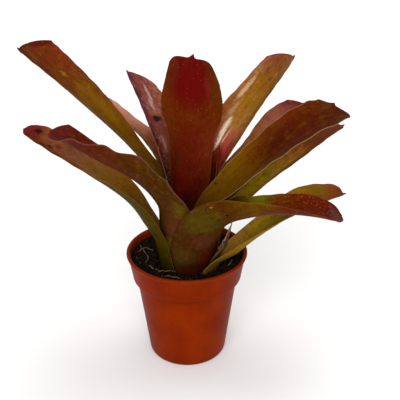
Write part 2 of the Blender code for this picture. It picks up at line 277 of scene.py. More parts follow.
def make_pot():
    """The wall's outline, from the middle of the floor up the inside and down the outside."""
    inside = [
        (0.0, 1.4), (6.0, 1.4), (17.3, 1.4), (17.9, 1.5), (18.3, 1.8), (18.5, 2.4),
        (21.2, 22.0), (24.0, 42.3), (24.1, 42.9), (24.4, 43.3), (25.6, 43.7), (25.9, 43.9),
        (26.1, 44.5), (27.9, 54.8),
    ]
    lip = [
        (28.0, 55.7), (28.1, 56.3), (28.4, 56.8), (28.8, POT_HEIGHT), (29.3, POT_HEIGHT),
        (29.7, 56.85), (29.95, 56.5), (30.0, 56.1), (29.85, 55.75), (29.4, 55.5), (29.15, 55.2),
    ]
    collar = [(28.95, 54.4), (27.2, 44.2), (27.1, 43.6), (26.85, 43.2), (26.5, POT_STEP)]
    body = [(25.5, 42.75), (25.15, 42.5), (25.0, 41.9), (24.9, 41.0), (22.3, 21.5), (19.7, 1.6)]
    foot = [
        (19.55, 0.9), (19.2, 0.35), (18.6, 0.05), (17.9, 0.0), (16.4, 0.0), (16.1, 0.35),
        (6.0, 0.35), (0.0, 0.35),
    ]
    pot = turned_piece(inside + lip + collar + body + foot, POT_SEGMENTS)
    for i in range(DRAIN_HOLES):
        punch_hole(pot, 2 * math.pi * i / DRAIN_HOLES)
    pick(pot)
    bpy.ops.object.shade_smooth_by_angle(angle=SMOOTH_BELOW)
    return pot


def punch_hole(pot, turn):
    """Cuts one drain hole through the floor, at its turn round the drain circle."""
    start_piece()
    bpy.ops.mesh.primitive_cylinder_add(
        vertices=32,
        radius=DRAIN_RADIUS * MM,
        depth=8 * MM,
        location=(DRAIN_CIRCLE * math.cos(turn) * MM, DRAIN_CIRCLE * math.sin(turn) * MM, 0.0),
    )
    punch = bpy.context.object
    cut = pot.modifiers.new("Drain", "BOOLEAN")
    cut.operation = "DIFFERENCE"
    cut.object = punch
    pick(pot)
    bpy.ops.object.modifier_apply(modifier="Drain")
    bpy.data.objects.remove(punch, do_unlink=True)


def pot_finish():
    """Satin plastic: faint flow marks, a lighter lip, rubbed edges and a film of dry soil dust."""
    steady = {"Specular IOR Level": 0.03, "Specular Tint": "ffa070"}
    finish = Finish("terracotta plastic", steady)
    place = finish.place()
    height = finish.part_of(place, 2)
    x = finish.part_of(place, 0)
    y = finish.part_of(place, 1)
    clouds = finish.noise(place, 0.06, 3.0)
    flow = finish.noise(finish.vector(x * 0.5, y * 0.5, height * 0.05), 0.9, 3.0, 0.6)
    body = finish.mix(clouds.between(0.35, 0.65), "701c00", "7c2400")
    body = finish.mix(flow.between(0.5, 0.75) * 0.35, body, "842804")
    # The colour is lighter towards the top of the lip.
    lip = height.between(POT_HEIGHT - 2.4, POT_HEIGHT - 0.6) * (0.55 + 0.45 * clouds)
    body = finish.mix(lip * 0.55, body, "7e2a0a")
    # Painted shade: a darker band round the body just under the collar's step, where the overhang
    # shades it.
    step_shade = height.between(POT_STEP - 1.8, POT_STEP - 0.1) * height.between(POT_STEP + 1, POT_STEP)
    body = finish.mix(step_shade * 0.45, body, "480c00")
    scuffs = finish.noise(finish.vector(x * 0.9, y * 0.9, height * 0.12), 3.2, 2.0, 0.7)
    scuff = scuffs.between(0.66, 0.74) * height.between(45.0, 20.0)
    body = finish.mix(scuff * 0.22, body, "9c4a26")
    grime = finish.noise(place, 0.35, 6.0, 0.65)
    dust = grime.between(0.54, 0.72) * (0.25 + 0.75 * height.between(40.0, POT_HEIGHT))
    body = finish.mix(dust * 0.28, body, "4a2412")
    specks = finish.cells(place, 0.42)
    speck = specks.between(0.16, 0.08)
    body = finish.mix(speck * 0.5, body, "2c1206")
    rough = 0.36 + 0.12 * clouds + 0.18 * dust + 0.12 * scuff
    peel = finish.noise(place, 2.6, 2.0)
    relief = peel * 0.5 + scuffs * 0.3 + speck * 0.6
    return finish.wear(body, rough, relief, depth=0.05, strength=0.5)


dress(make_pot(), "moulded_pot", pot_finish(), "pot")


# The potting soil is peat with bark and grit, poured round the plant and watered down. It is one
# body that fills the pot to just below the lip, with a ragged top.
SOIL_TOP = 53.4
SOIL_RADIUS = 27.4
SOIL_SEGMENTS = 144
TOP_RINGS = 14
HOLE_RADIUS = 16.6
HOLE_FLOOR = 41.1
ROSETTE_X = 1.0
ROSETTE_Y = -3.0


def soil_height(x, y):
    """Height of the ragged soil top, in mm, from a few crossing waves."""
    lumps = 0.34 * math.sin(0.55 * x + 1.3) * math.cos(0.48 * y - 0.4)
    lumps += 0.26 * math.sin(1.25 * x - 0.9 * y) + 0.2 * math.cos(1.9 * y + 0.7 * x + 2.0)
    heap = 0.7 * math.exp(-((x + 20) ** 2 + (y - 2) ** 2) / 90)
    return SOIL_TOP + lumps + heap


def make_soil():
    """The body of the soil, with a hole for the stem set off towards the rosette's middle."""
    brim = SOIL_TOP - 1.0
    profile = [(0.0, 1.8), (8.0, 1.8), (16.8, 1.8), (18.0, 2.6), (23.5, 42.2), (25.5, 44.4)]
    profile.append((SOIL_RADIUS - 0.2, brim))
    for i in range(TOP_RINGS + 1):
        radius = SOIL_RADIUS + (HOLE_RADIUS + 0.5 - SOIL_RADIUS) * i / TOP_RINGS
        profile.append((radius, SOIL_TOP))
    profile += [(HOLE_RADIUS, brim), (HOLE_RADIUS, HOLE_FLOOR)]
    profile += [(6.0, HOLE_FLOOR), (0.0, HOLE_FLOOR)]
    soil = turned_piece(profile, SOIL_SEGMENTS)
    draw = np.random.default_rng(11)
    for vertex in soil.data.vertices:
        x = vertex.co.x / MM
        y = vertex.co.y / MM
        radius = math.hypot(x, y)
        height = vertex.co.z / MM
        if height > HOLE_FLOOR - 0.2:
            share = float(np.interp(radius, [HOLE_RADIUS + 0.8, 24.0], [1.0, 0.0]))
            x += share * ROSETTE_X
            y += share * ROSETTE_Y
        if height > SOIL_TOP - 0.1:
            height = soil_height(x, y) + draw.uniform(-0.35, 0.35)
        vertex.co = (x * MM, y * MM, height * MM)
    for face in soil.data.polygons:
        face.use_smooth = True
    return soil


def soil_finish(name, dark, light):
    """Damp peat: near black, flecked with brown bark and a few pale grains."""
    finish = Finish(name, {"Specular IOR Level": 0.08})
    place = finish.place()
    clods = finish.noise(place, 0.7, 6.0, 0.7)
    bark = finish.cells(place, 1.5)
    earth = finish.mix(clods.between(0.4, 0.68), dark, light)
    flakes = finish.noise(place, 1.9, 3.0, 0.6).between(0.62, 0.7)
    earth = finish.mix(flakes * 0.7, earth, "452a12")
    grains = finish.cells(place, 1.1).between(0.14, 0.09)
    earth = finish.mix(grains * 0.55, earth, "7a6a50")
    rough = 0.78 + 0.2 * clods
    relief = clods * 0.8 + bark * 0.5
    return finish.wear(earth, rough, relief, depth=0.4, strength=0.9)


peat = soil_finish("damp peat", "050302", "1a0f07")
dress(make_soil(), "peat_soil", peat, "potting_soil")


# Crumbs of peat and bark lie loose on the soil, from the lip to the foot of the plant. One crumb
# is modelled, and the others are copies of it, turned, squeezed and sunk a little in the soil.
CRUMBS = 950
SMALLEST_CRUMB = 0.2
LARGEST_CRUMB = 1.7


def make_crumbs():
    """All crumbs as one mesh of closed lumps, drawn from a seeded list of places and shapes."""
    start_piece()
    bpy.ops.mesh.primitive_ico_sphere_add(subdivisions=2, radius=1.0, location=(0.0, 0.0, 0.0))
    crumb = bpy.context.object
    draw = np.random.default_rng(23)
    shape = np.array([vertex.co[:] for vertex in crumb.data.vertices])
    faces = np.array([face.vertices[:] for face in crumb.data.polygons])
    bpy.data.objects.remove(crumb, do_unlink=True)
    points = []
    triangles = []
    while len(points) < CRUMBS:
        radius = (SOIL_RADIUS + 0.2) * math.sqrt(draw.uniform(0.28, 1.0))
        turn = draw.uniform(0.0, 2 * math.pi)
        x = radius * math.cos(turn)
        y = radius * math.sin(turn)
        size = float(np.clip(draw.lognormal(-0.7, 0.55), SMALLEST_CRUMB, LARGEST_CRUMB))
        in_wall = radius + size > SOIL_RADIUS + 0.6
        in_plant = math.hypot(x - ROSETTE_X, y - ROSETTE_Y) < HOLE_RADIUS - 1.0
        if in_wall or in_plant:
            continue
        bumps = 1.0 + draw.uniform(-0.22, 0.22, len(shape))
        squeeze = draw.uniform(0.55, 1.15, 3) * (1.0, 1.0, 0.8)
        spin, _ = np.linalg.qr(draw.normal(size=(3, 3)))
        copy = (shape * bumps[:, None] * squeeze * size) @ spin
        height = soil_height(x, y) + 0.25 * size
        triangles.append(faces + len(points) * len(shape))
        points.append(copy + (x, y, height))
    mesh = bpy.data.meshes.new("crumbs")
    mesh.from_pydata((np.concatenate(points) * MM).tolist(), [], np.concatenate(triangles).tolist())
    crumbs = add_object("crumbs", mesh)
    pick(crumbs)
    bpy.ops.object.mode_set(mode="EDIT")
    bpy.ops.mesh.select_all(action="SELECT")
    bpy.ops.mesh.normals_make_consistent(inside=False)
    bpy.ops.object.mode_set(mode="OBJECT")
    return crumbs


crumb_finish = soil_finish("loose crumbs", "070403", "2c190b")
dress(make_crumbs(), "soil_crumbs", crumb_finish)


# Tan fibres of bark and old root lie among the crumbs. Each is a thin bent strand, thinner at its
# ends, that rests on the soil.
FIBRE_RADIUS = 0.22
FIBRE_POINTS = 15


def make_fibres():
    """Each strand passes three points, given as places in mm and heights over the soil."""
    strands = [
        [(-24, 9, 0.5), (-22.5, 4, 0.9), (-20, -1, 0.4)],
        [(-20, -1, 0.6), (-19, -5, 1.0), (-20.5, -9, 0.4)],
        [(-20, -9, 0.4), (-16.5, -12.5, 0.9), (-12.5, -15.5, 0.4)],
        [(-25, -3, 0.4), (-23, -7, 0.8), (-23.5, -11, 0.4)],
        [(-12, -19.5, 0.4), (-7, -21.5, 0.9), (-2, -22.5, 0.4)],
        [(-14, -16.5, 0.6), (-10.5, -17.8, 2.2), (-5, -19.2, 2.0)],
        [(-17, 3, 0.5), (-21, 4.5, 1.1), (-24.5, 2, 0.4)],
        [(19, -12, 0.4), (21.5, -8, 0.9), (22.5, -4, 0.4)],
        [(21, 4, 0.4), (18, 10, 0.9), (13, 14.5, 0.4)],
        [(-10, 18, 0.4), (-3, 21, 0.8), (4, 22, 0.4)],
    ]
    made = []
    draw = np.random.default_rng(5)
    thinned = 0.35 + 0.65 * np.sin(np.linspace(0.35, 2.8, FIBRE_POINTS))
    for strand in strands:
        path = smooth_path(np.array(strand, float), np.linspace(0.0, 2.0, FIBRE_POINTS))
        path[:, :2] += draw.normal(0.0, 0.12, (FIBRE_POINTS, 2))
        path[:, 2] += [soil_height(x, y) for x, y in path[:, :2]]
        curve = bpy.data.curves.new("fibre", "CURVE")
        curve.dimensions = "3D"
        spline = curve.splines.new("POLY")
        spline.points.add(len(path) - 1)
        for point, place, thick in zip(spline.points, path, thinned):
            point.co = (*(place * MM), 1.0)
            point.radius = thick
        curve.bevel_depth = FIBRE_RADIUS * MM
        curve.bevel_resolution = 2
        curve.use_fill_caps = True
        pick(add_object("fibre", curve))
        bpy.ops.object.convert(target="MESH")
        made.append(bpy.context.object)
    pick(made[0])
    for fibre in made:
        fibre.select_set(True)
    bpy.ops.object.join()
    return bpy.context.object


def smooth_path(knots, share):
    """A curve through three points, read at shares from 0 to 2."""
    first = knots[0] * ((share - 1) * (share - 2) / 2)[:, None]
    middle = knots[1] * (share * (2 - share))[:, None]
    last = knots[2] * (share * (share - 1) / 2)[:, None]
    return first + middle + last


def fibre_finish():
    """Dry tan bark fibre, darker where it is damp."""
    finish = Finish("bark fibre", {"Specular IOR Level": 0.25})
    place = finish.place()
    damp = finish.noise(place, 0.5, 3.0)
    grain = finish.noise(place, 5.0, 2.0)
    tan = finish.mix(damp.between(0.38, 0.62), "806238", "4c3418")
    tan = finish.mix(grain.between(0.5, 0.7) * 0.4, tan, "8d7650")
    return finish.wear(tan, 0.75 + 0.2 * damp, grain, depth=0.08, strength=0.6)


dress(make_fibres(), "bark_fibres", fibre_finish())


# The stem is the short, squat base that all sheaths grow from. It is buried in the soil, and its
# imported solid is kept. It is fibrous and brown, ringed by the scars of old leaves.
def stem_finish():
    """Brown fibrous bark, with the scars of old leaves as rings."""
    finish = Finish("stem bark", {"Specular IOR Level": 0.3})
    place = finish.place()
    height = finish.part_of(place, 2)
    wander = finish.noise(place, 0.5, 3.0)
    rings = finish.noise(finish.vector(wander, 0.0, height * 2.2), 1.0, 2.0)
    bark = finish.mix(rings.between(0.4, 0.6), "3a2412", "6b4d2a")
    bark = finish.mix(wander.between(0.5, 0.75) * 0.5, bark, "1d120a")
    return finish.wear(bark, 0.7 + 0.2 * rings, rings + wander * 0.5, depth=0.3, strength=0.7)


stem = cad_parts["stem"]
stem.material_slots[0].material = stem_finish()


# The leaves are thick, leathery straps. Each grows from a sheath that hugs the middle of the
# plant and opens into a channelled blade with a blunt tip, one small spine and tiny teeth. The
# sheaths nest in rings, outermost first, and nothing but that nesting holds them.
OUTER_RING = 15.2
RING_PITCH = 0.95
SHEATH_FOOT = 49.0
STEM_SLOPE = 0.5
FLARE = 0.026
LEAF_THICKNESS = 0.6
TIP_LENGTH = 6.0
TIP_ROUND = 4.0
SPINE_ROOT = 1.6
SPINE_WIDTH = 0.07
TOOTH = 0.12
ACROSS = 25
ALONG = 105
TIP_ROWS = 16
PATTERN_LENGTH = 124.0
PATTERN_STEP = 7.3

PLAIN_LEAF = dict(
    swing=0.0, waist_at=0.42, tip=0.72, hug=(12.0, 36.0), crinkle=(0.14, 9.0, 0.0),
    slant=0.0, corner=2.4, spine=2.0, spine_at=0.0, hook=(0.0, 0.0, 0.0),
)
PLAIN_LOOK = dict(
    mottle=("3a1c02", 0.3), glow=("8a5a10", 0.12), flecks=("b08a48", 0.16, 0.3, 0.1), pits=0.5,
    rim=("7a4a28", 0.25), margin=0.12, film=0.03, film_rough=0.3, tip_tone="4a0d0a", patches=(),
)
Patch = namedtuple("Patch", "at size tone share face ragged soft polish", defaults=(1, 0.5, 0.6, 0.0))


def ring(place):
    """Radius of a nesting place, counted from 0 at the outermost sheath."""
    return OUTER_RING - RING_PITCH * place


def smooth_through(knots, values, at):
    """Smooth cubic through the values at the knots, read at the given places."""
    knots = np.asarray(knots, float)
    values = np.asarray(values, float)
    slopes = np.gradient(values, knots, axis=0)
    left = np.clip(np.searchsorted(knots, at, side="right") - 1, 0, len(knots) - 2)
    step = knots[left + 1] - knots[left]
    t = (at - knots[left]) / step
    if values.ndim > 1:
        step = step[:, None]
        t = t[:, None]
    start = (2 * t**3 - 3 * t**2 + 1) * values[left] + (t**3 - 2 * t**2 + t) * step * slopes[left]
    end = (3 * t**2 - 2 * t**3) * values[left + 1] + (t**3 - t**2) * step * slopes[left + 1]
    return start + end


def ease(share):
    """Slow at both ends, from 0 at 0 to 1 at 1."""
    share = np.clip(share, 0.0, 1.0)
    return share * share * (3 - 2 * share)


def section(half_width, curl, side):
    """Across and inward offsets of one point of a leaf's rounded channel, side from -1 to 1."""
    steps = np.linspace(0.0, abs(side), 25)
    slant = curl * steps
    reach = float(np.sum(np.cos((slant[1:] + slant[:-1]) / 2))) * steps[1]
    rise = float(np.sum(np.sin((slant[1:] + slant[:-1]) / 2))) * steps[1]
    return math.copysign(half_width * reach, side), half_width * rise


def axes_of(forward, heading, tilt):
    """Directions across a leaf and inwards from its midrib, turned by tilt about the midrib."""
    outward = np.array([math.cos(heading), math.sin(heading), 0.0])
    sideways = np.array([-outward[1], outward[0], 0.0])
    sideways = sideways - forward * (sideways @ forward)
    sideways = sideways / np.linalg.norm(sideways)
    inward = np.cross(forward, sideways)
    if inward @ (np.array([0.0, 0.0, 0.8]) - outward) < 0:
        inward = -inward
    wide = sideways * math.cos(tilt) + inward * math.sin(tilt)
    deep = inward * math.cos(tilt) - sideways * math.sin(tilt)
    return wide, deep


def leaf_surface(leaf):
    """Rows of points of a leaf's middle surface, the share of its length at each, and its inward side.

    A leaf leaves its nesting ring at an azimuth and may swing to another. Its midrib follows the
    route. sheath, waist and blade are widths, curl and roll are the bend of its channel and its
    tilt along the way, in degrees, and hug says how far up the sheath clings and the blade begins.
    slant, corner, tip, spine and hook shape the tip, and crinkle is the height, pitch and side of
    the waves in its margin.
    """
    leaf = {**PLAIN_LEAF, **leaf}
    across = np.linspace(-1.0, 1.0, ACROSS)
    bearing = math.radians(leaf["azimuth"])
    hug_ring = leaf["ring"]
    foot = SHEATH_FOOT + STEM_SLOPE * (OUTER_RING - hug_ring)
    x = ROSETTE_X + hug_ring * math.cos(bearing)
    y = ROSETTE_Y + hug_ring * math.sin(bearing)
    route = np.array([(x, y, foot), *leaf["route"]], float)
    knots = np.concatenate([[0.0], np.cumsum(np.linalg.norm(np.diff(route, axis=0), axis=1))])
    length = knots[-1]
    body = np.linspace(0.0, length - TIP_LENGTH, ALONG - TIP_ROWS)
    tip_rows = np.arange(1, TIP_ROWS + 1) / TIP_ROWS
    at = np.concatenate([body, length - TIP_LENGTH + TIP_LENGTH * tip_rows])
    share = at / length
    place = smooth_through(knots, route, at)
    ahead = smooth_through(knots, route, np.minimum(at + 0.25, length))
    behind = smooth_through(knots, route, np.maximum(at - 0.25, 0.0))
    forward = (ahead - behind) / np.linalg.norm(ahead - behind, axis=1)[:, None]

    waist_at = leaf["waist_at"]
    between = leaf.get("widths", ((waist_at, leaf["waist"]), (0.72, leaf["blade"])))
    width_at = [0.0, *[at_share for at_share, _ in between], 1.0]
    widths = [leaf["sheath"], *[wide for _, wide in between]]
    widths.append(leaf["blade"] * leaf["tip"])
    width = smooth_through(width_at, widths, share)
    wrap = math.degrees(leaf["sheath"] / (2 * hug_ring))
    curl = smooth_through([0.0, waist_at, 0.75, 1.0], [wrap, *leaf["curl"]], share)
    roll = smooth_through(knots / length, [0.0, *leaf["roll"]], share)
    turn = smooth_through([0.0, 0.18, 0.5, 1.0], [0.0, 0.0, 1.0, 1.0], share).clip(0.0, 1.0)
    heading = bearing + math.radians(leaf["swing"]) * turn
    hug_end, blade_start = leaf["hug"]
    freed = ease((at - hug_end) / (blade_start - hug_end))
    rounded = 2.2 * TIP_LENGTH
    tipping = np.clip((at - length + rounded) / rounded, 0.0, 1.0)
    spine_grows = np.clip((at - length + SPINE_ROOT) / SPINE_ROOT, 0.0, 1.0) ** 1.6
    crinkle, crinkle_pitch, crinkle_side = leaf["crinkle"]
    spine_at = across[np.argmin(np.abs(across - leaf["spine_at"]))]
    hook = np.array(leaf["hook"])

    points = np.zeros((ALONG, ACROSS, 3))
    deeps = np.zeros((ALONG, 3))
    for row in range(ALONG):
        wide, deep = axes_of(forward[row], heading[row], math.radians(roll[row]))
        deeps[row] = deep
        hug_radius = hug_ring + FLARE * at[row] ** 1.5
        tooth = TOOTH if row % 3 == 0 and 0.4 < share[row] < 0.97 else 0.0
        for column, side in enumerate(across):
            reach, rise = section(width[row] / 2, math.radians(curl[row]), side)
            margin = abs(side) ** 4 * ease(share[row] * 3 - 1)
            one_side = 1.0 if crinkle_side == 0 else max(0.0, side * crinkle_side)
            wave = math.sin(2 * math.pi * at[row] / crinkle_pitch + 1.7 * side)
            rise += crinkle * margin * one_side * wave
            if abs(side) > 0.99:
                reach += math.copysign(tooth, side)
            push = leaf["slant"] * side - TIP_ROUND * abs(side) ** leaf["corner"]
            push = push * tipping[row]
            spine = spine_grows[row] * math.exp(-(((side - spine_at) / SPINE_WIDTH) ** 2))
            push += leaf["spine"] * spine
            blade = place[row] + wide * reach + deep * rise + forward[row] * push + hook * spine
            angle = bearing + side * width[row] / (2 * hug_radius)
            around = (hug_radius * math.cos(angle), hug_radius * math.sin(angle), at[row])
            sheath = np.array((ROSETTE_X, ROSETTE_Y, foot)) + around
            points[row, column] = sheath * (1 - freed[row]) + blade * freed[row]
    return points, share, deeps


def make_leaf(leaf):
    """A grid laid on the leaf's surface, thickened, thinned towards its margins and smoothed.

    Its map runs across and along the leaf, and its attribute inner is 1 on the inner face.
    """
    points, share, deeps = leaf_surface(leaf)
    start_piece()
    bpy.ops.mesh.primitive_grid_add(
        x_subdivisions=ACROSS - 1,
        y_subdivisions=ALONG - 1,
        size=2.0,
        location=(0.0, 0.0, 0.0),
    )
    blade = bpy.context.object
    mesh = blade.data
    order = sorted(mesh.vertices, key=lambda v: (round(v.co.y, 4), round(v.co.x, 4)))
    places = np.zeros((len(order), 2))
    inwards = np.zeros((len(order), 3))
    thin = blade.vertex_groups.new(name="thickness")
    for number, vertex in enumerate(order):
        row, column = divmod(number, ACROSS)
        side = 2 * column / (ACROSS - 1) - 1
        vertex.co = points[row, column] * MM
        places[vertex.index] = ((side + 1) / 2, share[row])
        inwards[vertex.index] = deeps[row]
        thin.add([vertex.index], 1.0 - 0.5 * abs(side) ** 3, "REPLACE")
    for loop in mesh.loops:
        mesh.uv_layers.active.data[loop.index].uv = places[loop.vertex_index]
    thicken = blade.modifiers.new("Thickness", "SOLIDIFY")
    thicken.thickness = LEAF_THICKNESS * MM
    thicken.offset = 0.0
    thicken.vertex_group = "thickness"
    bpy.ops.object.modifier_apply(modifier="Thickness")
    mark_inner_face(blade.data, inwards)
    smooth = blade.modifiers.new("Smooth", "SUBSURF")
    smooth.levels = 1
    smooth.render_levels = 1
    bpy.ops.object.modifier_apply(modifier="Smooth")
    bpy.ops.object.shade_smooth()
    return blade


def mark_inner_face(mesh, inwards):
    """Thickening keeps the points of one face first in the list. inwards says which face it is."""
    first = len(inwards)
    points = np.array([vertex.co[:] for vertex in mesh.vertices])
    lean = np.sum((points[:first] - points[first : 2 * first]) * inwards)
    values = np.full(len(points), 0.0 if lean > 0 else 1.0, np.float32)
    values[:first] = 1.0 - values[-1]
    inner = mesh.attributes.new("inner", "FLOAT", "POINT")
    inner.data.foreach_set("value", values)


def leaf_finish(leaf, look):
    """Waxy leaf skin.

    look holds the colours from foot to tip along the leaf's middle and margins, inside and out.
    mottle, glow and rim are each a tone and a share. flecks are a tone, a size and a share of the
    cells, and the place where they start. film is the weight of the wax and pits that of the dark
    pinholes. A patch has its middle and half its size on the leaf's map, and face 0 puts it on
    the outside.
    """
    look = {**PLAIN_LOOK, **look}
    steady = {"Specular IOR Level": 0.02, "Specular Tint": "ffb070", "Coat IOR": 1.4}
    steady["Coat Roughness"] = look["film_rough"]
    finish = Finish(leaf["name"] + " skin", steady)
    u, v = finish.chart()
    face = finish.node("ShaderNodeAttribute", {"attribute_name": "inner"}, {}, output=2)
    seed = PATTERN_STEP * leaf["ring"]
    x = u * 0.5 * (leaf["waist"] + leaf["blade"])
    y = v * PATTERN_LENGTH
    edge = abs(u * 2 - 1)

    def pattern(across_mm, along_mm, offset, detail, roughness):
        """Noise with so many lumps to the millimetre across the leaf and along it."""
        at = finish.vector(x * across_mm, y * along_mm, seed + offset)
        return finish.noise(at, 1.0, detail, roughness)

    fibres = pattern(1.5, 0.11, 0, 3.0, 0.6)
    veins = pattern(4.5, 0.1, 3, 2.0, 0.5)
    clouds = pattern(0.16, 0.09, 9, 4.0, 0.55)
    grain = pattern(2.2, 1.6, 5, 4.0, 0.65)
    blush = pattern(0.3, 0.17, 14, 5.0, 0.6)
    shade = pattern(0.55, 0.3, 17, 5.0, 0.65)
    along = v + (clouds - 0.5) * 0.16 + (fibres - 0.5) * 0.06
    wander = u * 2 - 1 + (clouds - 0.5) * 0.5

    def coloured(middle, *margins):
        """One face: the colours of its middle, blended into those of its margins."""
        colour = finish.ramp(along, look[middle])
        for name, begins, ends in margins:
            if name in look:
                margin_colour = finish.ramp(along, look[name])
                colour = finish.mix(wander.between(begins, ends), colour, margin_colour)
        return colour

    inside = coloured("inside", ("left", -0.3, -0.9), ("right", 0.3, 0.9))
    outside = coloured("outside", ("underside_left", 0.1, -0.8), ("underside_right", -0.1, 0.8))
    skin = finish.mix(face, outside, inside)

    tone, tone_share = look["mottle"]
    skin = finish.mix(blush.between(0.46, 0.7) * tone_share * 1.6, skin, tone)
    skin = finish.darken(shade.between(0.46, 0.72) * 0.45, skin, "a06860")
    skin = finish.darken(fibres.between(0.45, 0.75) * 0.2, skin, "8c7a70")
    skin = finish.darken(grain.between(0.45, 0.75) * 0.35, skin, "968c84")
    light_tone, light_share = look["glow"]
    skin = finish.mix(shade.between(0.46, 0.26) * light_share * 2, skin, light_tone)

    polish = 0.0
    for patch in look["patches"]:
        off_u = (u - patch.at[0]) / patch.size[0]
        off_v = (v - patch.at[1]) / patch.size[1]
        off = finish.vector(off_u, off_v, 0.0)
        far = finish.node("ShaderNodeVectorMath", {"operation": "LENGTH"}, {0: off}, output=1)
        far = far + (grain - 0.5) * patch.ragged * 2 + (shade - 0.5) * patch.ragged
        mask = far.between(1.0, 1.0 - patch.soft) * patch.share * (face if patch.face else 1 - face)
        skin = finish.mix(mask, skin, patch.tone)
        if patch.polish:
            polish = mask * patch.polish + polish

    fleck_tone, fleck_size, fleck_share, fleck_from = look["flecks"]
    specks = finish.dots(finish.vector(x * 0.8, y * 0.7, seed + 1), fleck_size, fleck_share)
    speck = specks * v.between(fleck_from, fleck_from + 0.2) * (0.35 + 0.65 * face)
    skin = finish.mix(speck * 0.6, skin, fleck_tone)
    pinhole = finish.dots(finish.vector(x * 0.3, y * 0.16, seed + 2), 0.1, 0.6)
    skin = finish.mix(pinhole * look["pits"], skin, "1c0a04")

    rim_tone, rim_share = look["rim"]
    rim = (1 - abs(face * 2 - 1)).between(0.05, 0.7) * edge.between(0.9, 0.98)
    skin = finish.mix(rim * rim_share, skin, rim_tone)
    margin = edge.between(0.93, 1.0) * v.between(0.3, 0.5)
    skin = finish.mix(margin * look["margin"], skin, rim_tone)
    tip = v.between(0.985, 1.0)
    skin = finish.mix(tip * 0.6, skin, look["tip_tone"])

    rough = 0.4 + 0.14 * clouds + 0.16 * grain - 0.1 * fibres
    film = fibres.between(0.7, 0.35) * (0.3 + 0.7 * clouds) * look["film"] + polish
    relief = veins * 0.4 + fibres * 0.35 + grain * 0.3 + shade * 0.5 - pinhole * 0.4
    return finish.wear(skin, rough, relief, depth=0.16, strength=0.4, film=film)


def grow_leaf(leaf, look):
    """One leaf of the plant, from its shape and its look."""
    name = leaf["name"]
    dress(make_leaf(leaf), "blade_" + name, leaf_finish(leaf, look), "leaf_" + name)


# The lowest right leaf, olive yellow with an orange blush and a hooked maroon tip. Its sheath is
# the outermost and leaves the ring almost at once.
grow_leaf(
    dict(
        name="low_right", ring=ring(0), azimuth=-18, swing=20,
        sheath=28, waist=18, blade=19.5, curl=(52, 35, 40), hug=(3, 14), slant=0.5,
        corner=3.2, spine_at=-0.35,
        route=((24, -5, 57.5), (38, -2.5, 70), (57.5, 1.5, 82.5), (75.5, 4, 86.5)),
        roll=(4, 6, 12, 3),
    ),
    dict(
        mottle=("7a3a0c", 0.3), rim=("90703c", 0.3), tip_tone="5a1410",
        inside="0 9e772d, 20 b0851d, 42 a99018, 60 9a811b, 78 905f16, 92 7e4219, 100 7a3317",
        right="0 c19044, 30 c18d36, 50 c69c1d, 80 895c19, 100 7a351d",
        outside="0 4b3310, 12 725412, 30 866511, 70 6d5515, 100 66331c",
        patches=[
            Patch((0.75, 0.86), (0.3, 0.05), "705e0c", 0.5),
            Patch((0.35, 0.3), (0.4, 0.07), "8a4f18", 0.4),
        ],
    ),
)


# The lowest left leaf, a broad channel with orange-tan streaks, black-brown blotches near its
# crimson-pink tip and a dark lower half.
grow_leaf(
    dict(
        name="low_left", ring=ring(1), azimuth=188, swing=-6, spine=0.6,
        sheath=28, waist=24, blade=22.5, tip=0.52, curl=(55, 45, 45), hug=(10, 30),
        route=((-16.5, -6, 65), (-25, -8.5, 85.5), (-43.5, -9, 104), (-72.5, -6, 122.5)),
        roll=(6, 4, -10, -20), crinkle=(0.35, 11.0, 0.0),
    ),
    dict(
        mottle=("3c2802", 0.2), glow=("6c5410", 0.1), flecks=("a07a50", 0.18, 0.2, 0.45),
        rim=("a07c58", 0.3), pits=0.2, film=0.01, tip_tone="6e1a24",
        inside="0 553a0e, 20 735706, 38 745405, 50 93660c, 60 a87036, 72 9f633f, 86 894f2e, "
               "95 6f2c1a, 100 6a1e22",
        left="0 885c25, 30 a06a1e, 50 9e6619, 70 a2653e, 90 8a5028, 100 6f2622",
        right="0 553a0e, 40 704505, 60 77420d, 75 763412, 88 733317, 100 601615",
        outside="0 130d02, 12 362b01, 35 443502, 60 4d3306, 100 4c1e0c",
        patches=[
            Patch((0.35, 0.965), (0.5, 0.04), "6e1d20", 0.7),
            Patch((0.27, 0.945), (0.13, 0.022), "1c0c08", 0.85, ragged=1.7, soft=0.4),
            Patch((0.62, 0.86), (0.08, 0.018), "22100a", 0.8, ragged=1.6, soft=0.4),
            Patch((0.76, 0.89), (0.1, 0.02), "22100a", 0.75, ragged=1.6, soft=0.4),
            Patch((0.45, 0.83), (0.1, 0.02), "5a1c22", 0.6, ragged=1.2, soft=0.5),
            Patch((0.45, 0.62), (0.2, 0.12), "7a5c0c", 0.6),
        ],
    ),
)


# The lower right leaf, olive yellow at first and orange-brown to maroon towards its tip, with a
# darker underside.
grow_leaf(
    dict(
        name="lower_right", ring=ring(2), azimuth=21,
        sheath=16, waist=18.5, blade=20, curl=(45, 35, 40),
        route=((20.5, 4, 73.5), (34.5, 8, 88.5), (55.5, 13, 105.5), (75.5, 19, 115)),
        roll=(0, 0, 5, -8),
    ),
    dict(
        mottle=("5c3a04", 0.3), rim=("8c6040", 0.3), tip_tone="4a1412",
        inside="0 893514, 14 8e5e12, 36 b89209, 50 bfa013, 62 c48e2b, 72 ab6d27, 82 7a3d1a, "
               "100 753028",
        left="0 893514, 50 9b6b25, 62 774a13, 75 884417, 100 733021",
        right="0 893514, 40 be8826, 55 d0a930, 65 cb9b59, 85 8d5237, 100 7f372e",
        outside="0 471e05, 30 523504, 55 5d4212, 85 643528, 100 642e28",
    ),
)


